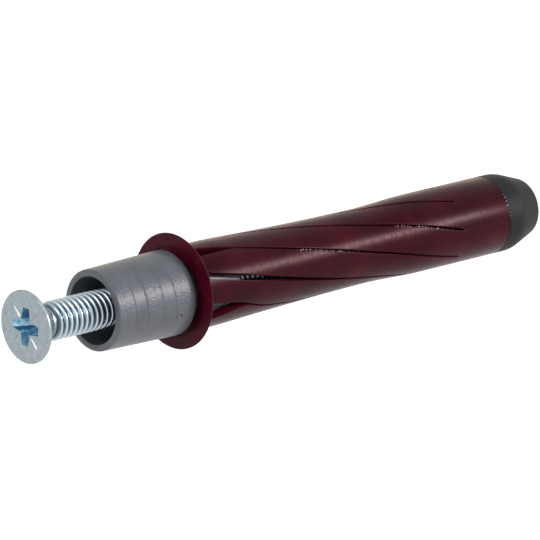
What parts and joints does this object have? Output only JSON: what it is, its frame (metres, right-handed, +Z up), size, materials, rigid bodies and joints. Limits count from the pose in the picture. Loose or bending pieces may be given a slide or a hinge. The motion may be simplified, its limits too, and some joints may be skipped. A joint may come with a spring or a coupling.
{
  "type": "drywall anchor",
  "caption": "Flanged hollow-wall anchor: slotted dark red sleeve, grey spacer collar, countersunk machine screw, inner nut and black nose.",
  "frame": {"origin": "on the axis, in the plane of the flange's rear face, which bears on the wall board", "axes": "+Y along the axis into the wall towards the nose, the screw's head faces -Y, +Z up; the anchor lies level as it does in a wall"},
  "size_m": [0.0178, 0.1022, 0.0178],
  "materials": {
    "zinc_plated_steel": "bright zinc plate",
    "grey_nylon": "satin, fine moulded grain on three bands",
    "dark_red_nylon": "semi-gloss, slightly translucent",
    "nut_steel": "plain zinc plate",
    "black_nylon": "matt"
  },
  "bodies": {
    "anchor_shell": {"expansion_sleeve": "dark_red_nylon", "spacer_collar": "grey_nylon", "threaded_nut": "nut_steel", "nose_cap": "black_nylon"},
    "screw": {"countersunk_screw": "zinc_plated_steel"}
  },
  "joints": [
    {"name": "screw_travel", "type": "slide", "parent": "anchor_shell", "child": "screw", "axis": [0, 1, 0], "range_m": [0, 0.0122]}
  ]
}
